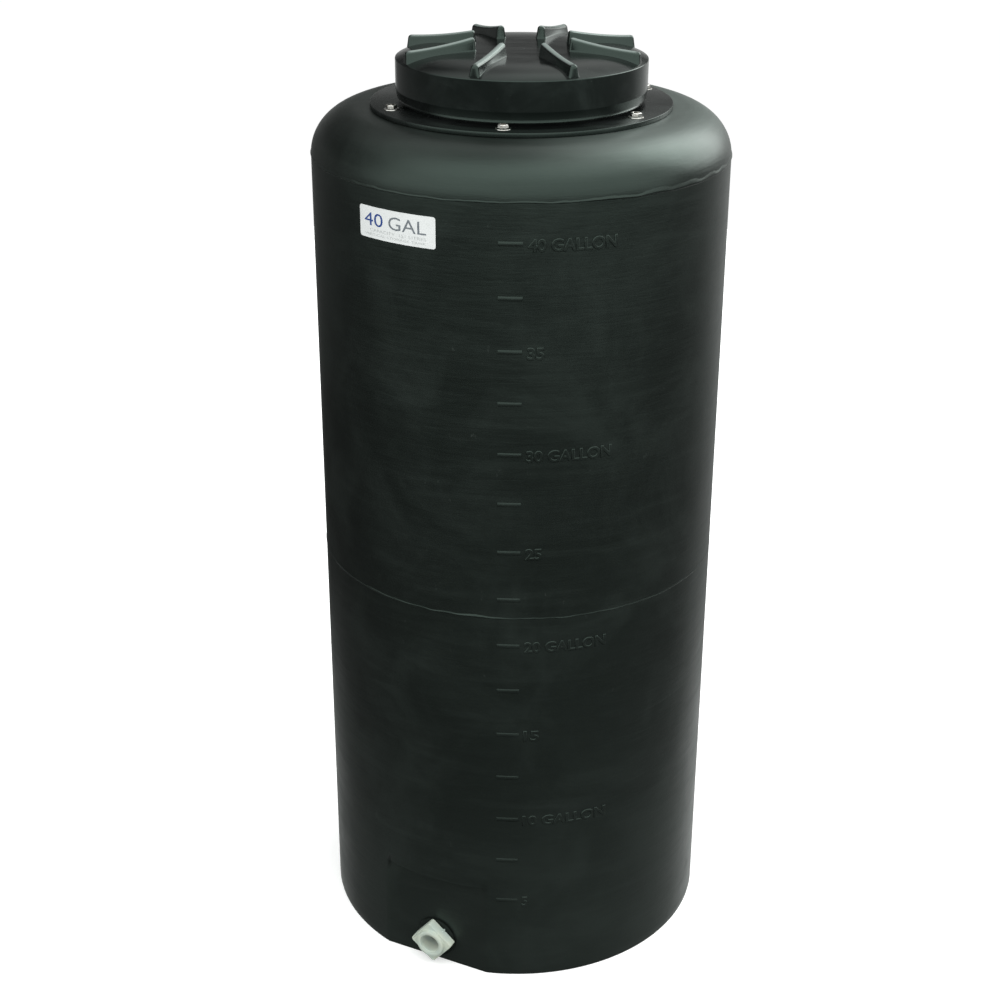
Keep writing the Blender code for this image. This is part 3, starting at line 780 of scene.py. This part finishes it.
def makeLidCap():
    radius, inner = lid["radius"], lid["radius"] - lid["skirtWall"]
    bottom, under, rows = lid["skirtBottom"], lid["underside"], lid["domeRows"]
    rimRound, turn = lid["edgeRound"], math.radians(lid["edgeTurn"])
    outline = [(across, domeHeight(across) - lid["domeWall"]) for across in lid["undersideRows"]]
    outline += [(lid["undersideEdge"], under), (inner, under), (inner, bottom)]
    outline += [(radius - 0.0014, bottom), (radius - 0.0012, bottom + 0.0002)]
    outline += [(radius - inset, height) for inset, height in lid["skirtRows"]]
    edge = (radius - rimRound, lid["rimTop"] - rimRound * math.sin(turn))
    outline += [(radius, edge[1] - 0.0005), *quarterRound(edge, rimRound, rimRound, 5, lid["edgeTurn"])]
    dome = [math.sin(math.pi / 2 * step / rows) * lid["domeEdge"] for step in range(rows - 1, -1, -1)]
    outline += [(across, domeHeight(across)) for across in dome]
    bm = spinOutline(outline, lid["steps"])
    addThread(
        bm, inner + 0.0002, -lid["threadDepth"], lid["pitch"], lid["threadStart"],
        lid["threadTurns"], lid["threadSteps"],
    )
    return fixPiece(makePiece("lidCap", bm, finishes["gloss"]), "lid", "gloss_black", "lid_top", "lid_skirt")


def makeGrip(index):
    # A spun post is drawn out lengthways: its ends stay rounded and its top follows the crest.
    # Heights under -0.5 stand for places by the dome, and the others for places by the crest.
    inner, outer, half, crest = lid["gripInner"], lid["gripOuter"], lid["gripHalf"], lid["crestHalf"]
    foot = ((0.0012, -1.0015), (0.0012, -1.0), (0.0008, -0.9993), (0.0005, -0.9980))
    outline = [(half + flare, height) for flare, height in foot]
    bm = spinOutline(outline + quarterRound((0, -crest), crest, crest, 8), 64)
    for vert in bm.verts:
        wide = max(vert.co.xy.length, half)
        along = min(abs(vert.co.x) / wide, 1)
        full = (1 - (1 - along * along) ** (lid["endShape"] / 2)) ** (1 / lid["endShape"])
        if vert.co.x > 1e-6:
            vert.co.x = outer - half + full * wide
        elif vert.co.x < -1e-6:
            vert.co.x = inner + half - full * wide
        else:
            vert.co.x = inner + half
    for step in range(1, lid["gripRows"]):
        across = inner + half + (outer - inner - 2 * half) * step / lid["gripRows"]
        bmesh.ops.bisect_plane(
            bm, geom=bm.verts[:] + bm.edges[:] + bm.faces[:], plane_co=(across, 0, 0), plane_no=(1, 0, 0),
        )
    for vert in bm.verts:
        if vert.co.z < -0.5:
            vert.co.x = min(vert.co.x, outer - 0.0002)
            vert.co.z += 1 + domeHeight(vert.co.xy.length)
        else:
            vert.co.z += crestHeight(vert.co.x)
    turn = math.radians(lid["firstGrip"] + index * 360 / lid["grips"] - 90)
    bmesh.ops.rotate(bm, cent=(0, 0, 0), matrix=Matrix.Rotation(turn, 3, "Z"), verts=bm.verts)
    piece = makePiece("gripRib" + str(index + 1), cleaned(bm), finishes["grips"], 50)
    return fixPiece(piece, "lid", "gloss_black", "lid_grip_" + str(index + 1))


def makeLidSeal():
    low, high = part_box("lid_seal")
    inner, outer = ring["neckInner"], ring["neckOuter"] + 0.0013
    bm = spinOutline([(inner, low.z), (outer, low.z), (outer, high.z), (inner, high.z)], 128, True)
    roundEdges(bm, lid["sealRound"], 2)
    return fixPiece(makePiece("lidSeal", bm, finishes["rubber"]), "lid_seal", "rubber", "lid_seal")


makeLidCap()
for index in range(lid["grips"]):
    makeGrip(index)
makeLidSeal()
print("Lid done")

# The outlet: a square-flanged fitting, its gasket, and the nut inside the tank

outlet = {
    "bore": 0.0125, "tube": 0.0165, "hub": 0.0180, "blockStart": 0.2281, "blockThick": 0.0118,
    "hubEnd": 0.2440, "tubeEnd": 0.2022, "blockSide": 0.0400, "squareness": 16, "blockTurn": 50.4, "steps": 128,
    "lugRadius": 0.0013, "lugThick": 0.0046, "threadDepth": 0.0009, "pitch": 0.0018, "threadTurns": 21,
    "gasketRadius": 0.026, "gasketStart": 0.2251, "gasketThick": 0.0027, "gasketRound": 0.0006,
    "clearance": 0.0005, "nutStart": 0.2082, "nutThick": 0.010, "nutAcrossFlats": 0.045,
}


def makeOutletFitting():
    start, front = outlet["blockStart"], outlet["blockStart"] + outlet["blockThick"]
    half, hub, end = outlet["blockSide"] / 2, outlet["hub"], outlet["hubEnd"]
    bore, tube, tubeEnd = outlet["bore"], outlet["tube"], outlet["tubeEnd"]
    outline = [
        (bore, tubeEnd), (tube, tubeEnd), (tube, start),
        # the block, with a low lip round its face
        (half - 0.0008, start), (half, start + 0.0008), (half, front - 0.0008), (half - 0.0003, front - 0.0002),
        (half - 0.0009, front), (half - 0.0012, front), (half - 0.0015, front - 0.0004),
        (hub + 0.0001, front - 0.0004),
        # the hub, with its edges rounded
        (hub, front), (hub - 0.0002, end - 0.0012), (hub - 0.0006, end - 0.0003), (hub - 0.0014, end),
        (bore + 0.0014, end), (bore + 0.0004, end - 0.0004), (bore, end - 0.0014),
    ]
    bm = spinOutline(outline, outlet["steps"], True)
    for vert in bm.verts:
        if vert.co.xy.length > hub + 0.00005:
            angle = math.atan2(vert.co.y, vert.co.x)
            power = outlet["squareness"]
            wide = (abs(math.cos(angle)) ** power + abs(math.sin(angle)) ** power) ** (-1 / power)
            vert.co.x *= wide
            vert.co.y *= wide
    wide, lugEnd = outlet["lugRadius"], start + outlet["lugThick"]
    lug = spinOutline([(0, start), (wide, start), (wide, start + 0.0040), (0.0008, lugEnd), (0, lugEnd)], 16)
    bmesh.ops.translate(lug, vec=(half - 0.0002, 0, 0), verts=lug.verts)
    joinInto(bm, lug)
    addThread(
        bm, bore + 0.0001, -outlet["threadDepth"], outlet["pitch"], tubeEnd + 0.001,
        outlet["threadTurns"], 48, 0.9,
    )
    turn = Matrix.Rotation(math.radians(outlet["blockTurn"]), 4, "Z")
    bmesh.ops.transform(bm, matrix=outletPlace @ turn, verts=bm.verts)
    piece = makePiece("outletFitting", bm, finishes["white"])
    return fixPiece(piece, "tank", "white_plastic", "outlet_fitting")


def makeOutletGasket():
    bottom, top = outlet["gasketStart"], outlet["gasketStart"] + outlet["gasketThick"]
    inner, outer = outlet["tube"] + outlet["clearance"], outlet["gasketRadius"]
    bm = spinOutline([(inner, bottom), (outer, bottom), (outer, top), (inner, top)], 64, True)
    roundEdges(bm, outlet["gasketRound"], 2)
    bmesh.ops.transform(bm, matrix=outletPlace, verts=bm.verts)
    return fixPiece(makePiece("outletGasket", bm, finishes["rubber"]), "tank", "rubber", "outlet_gasket")


def makeOutletNut():
    inner = outlet["tube"] + outlet["clearance"]
    bm = hexRing(inner, outlet["nutAcrossFlats"], outlet["nutStart"], outlet["nutThick"], 96)
    bmesh.ops.transform(bm, matrix=outletPlace, verts=bm.verts)
    return fixPiece(makePiece("outletNut", bm, finishes["white"]), "tank", "white_plastic", "outlet_nut")


makeOutletFitting()
makeOutletGasket()
makeOutletNut()
print("Outlet done")

# The floor, the light and the camera

studio = {
    "floorRadius": 2.6, "floorMiddle": 0.6, "floorColour": (0.88, 0.88, 0.88), "floorCloud": (0.82, 0.82, 0.82),
    "floorGlow": 0.35, "skyColour": (0.98, 1.0, 0.985, 1), "backdrop": 1.02,
    "upper": 0.05, "front": 1.75, "overhead": 0.70, "strip": 0.40, "lowBack": 0.34,
    "boxPlace": (54, 30), "boxEdges": (0.82, 0.962), "box": 4.8,
    "below": (0.005, 0.17), "ground": 0.34, "window": 0.43, "lowWindow": 0.62,
}


def makeFloor():
    # A white sweep: it is left out of the reflections, which the painted surroundings give
    bm = bmesh.new()
    bmesh.ops.create_circle(
        bm, cap_ends=True, segments=128, radius=studio["floorRadius"],
        matrix=Matrix.Translation((0, studio["floorMiddle"], 0)),
    )
    finish = Finish("paleFloor", Roughness=0.9, IOR=1.3, Emission_Strength=studio["floorGlow"])
    cloudy = finish.cloud(0.8, detail=2)
    tone = finish.blend(cloudy * 0.1, studio["floorColour"], studio["floorCloud"])
    floor = makePiece("floor", bm, finish.wear(Base_Color=tone, Emission_Color=tone))
    floor.visible_glossy = False
    floor.visible_diffuse = False


def makeWorld():
    # Soft light all round, painted by direction: bright in front and overhead, a softbox high on the right
    # at the back in a dim strip, and a glow low behind that lights the edges. Below the horizon there is
    # little but the ground and two dim windows at the back. The direction's parts run from -1 to 1, and
    # "around" is its angle from straight back, positive to the right.
    world = bpy.data.worlds.new("studio")
    bpy.context.scene.world = world
    world.use_nodes = True
    sky = NodeBench(world.node_tree)
    direction = sky.node("ShaderNodeTexCoord", {}, {}, "Generated")
    across, back, up = (sky.node("ShaderNodeSeparateXYZ", {}, {0: direction}, axis) for axis in range(3))
    around = sky.node("ShaderNodeMath", {"operation": "ARCTAN2"}, {0: across, 1: back})
    horizon = sky.ramp(up, -0.10, 0.03)
    front = sky.ramp(back, 0.20, -0.35) * sky.ramp(up, -0.19, 0.02)
    overhead = sky.ramp(up, 0.52, 0.80)
    strip = sky.ramp(up, 0.20, 0.36) * sky.ramp(up, 0.84, 0.64) * sky.ramp(around, -0.25, 0.10)
    strip = strip * sky.ramp(around, 1.2, 0.8)
    lowBack = sky.ramp(up, 0.19, 0.07) * sky.ramp(back, 0.15, 0.55) * sky.ramp(across, -0.6, 0.0, 0.35, 1.0)
    rightward = sky.ramp(across, -0.8, 0.8, 0.75, 1.3)
    ground = sky.ramp(up, -0.48, -0.62) * sky.ramp(up, -0.85, -0.72) * studio["ground"]
    below = (sky.ramp(up, -0.42, -0.22, *studio["below"]) + ground) * rightward
    turn, lift = (math.radians(angle) for angle in studio["boxPlace"])
    centre = (math.sin(turn) * math.cos(lift), math.cos(turn) * math.cos(lift), math.sin(lift))
    near = sky.node("ShaderNodeVectorMath", {"operation": "DOT_PRODUCT"}, {0: direction, 1: centre}, "Value")
    box = sky.ramp(near, *studio["boxEdges"]) * sky.ramp(around, 0.25, 0.80)
    window = sky.ramp(around, -0.42, -0.20) * sky.ramp(around, 1.3, 0.4) * sky.ramp(up, 0.08, -0.10)
    lowWindow = sky.ramp(around, -1.0, -0.3) * sky.ramp(around, 1.2, 0.4) * sky.ramp(up, -0.455, -0.53)
    upper = studio["upper"] + overhead * studio["overhead"] + lowBack * studio["lowBack"]
    upper = upper + strip * studio["strip"]
    light = horizon * (upper + box * studio["box"]) + (1 - horizon) * below + front * studio["front"]
    light = light + window * studio["window"] + lowWindow * studio["lowWindow"]
    lit = sky.node("ShaderNodeBackground", {}, {"Color": studio["skyColour"], "Strength": light})
    seen = sky.node("ShaderNodeBackground", {}, {"Color": (1, 1, 1, 1), "Strength": studio["backdrop"]})
    looking = sky.node("ShaderNodeLightPath", {}, {}, "Is Camera Ray")
    either = sky.node("ShaderNodeMixShader", {}, {0: looking, 1: lit, 2: seen})
    sky.tree.links.new(either.socket, sky.tree.nodes["World Output"].inputs["Surface"])


view = {
    "lens": 63.50, "sensor": 36, "place": (0, -1.96794, 1.42852),
    "pitch": 24.4440, "yaw": -0.646, "roll": 0.2063,
}


def makeCamera():
    camera = bpy.data.cameras.new("camera")
    camera.lens = view["lens"]
    camera.sensor_width = view["sensor"]
    eye = bpy.data.objects.new("camera", camera)
    bpy.context.scene.collection.objects.link(eye)
    pitch, yaw, roll = (math.radians(view[turn]) for turn in ("pitch", "yaw", "roll"))
    forward = Vector((math.sin(yaw) * math.cos(pitch), math.cos(yaw) * math.cos(pitch), -math.sin(pitch)))
    side = Vector((math.cos(yaw), -math.sin(yaw), 0))
    upward = side.cross(forward)
    right = side * math.cos(roll) + upward * math.sin(roll)
    top = upward * math.cos(roll) - side * math.sin(roll)
    facing = Matrix((right, top, -forward)).transposed().to_4x4()
    eye.matrix_world = Matrix.Translation(view["place"]) @ facing
    bpy.context.scene.camera = eye


makeFloor()
makeWorld()
makeCamera()
bpy.context.scene.view_settings.view_transform = "Standard"
print("Studio done")
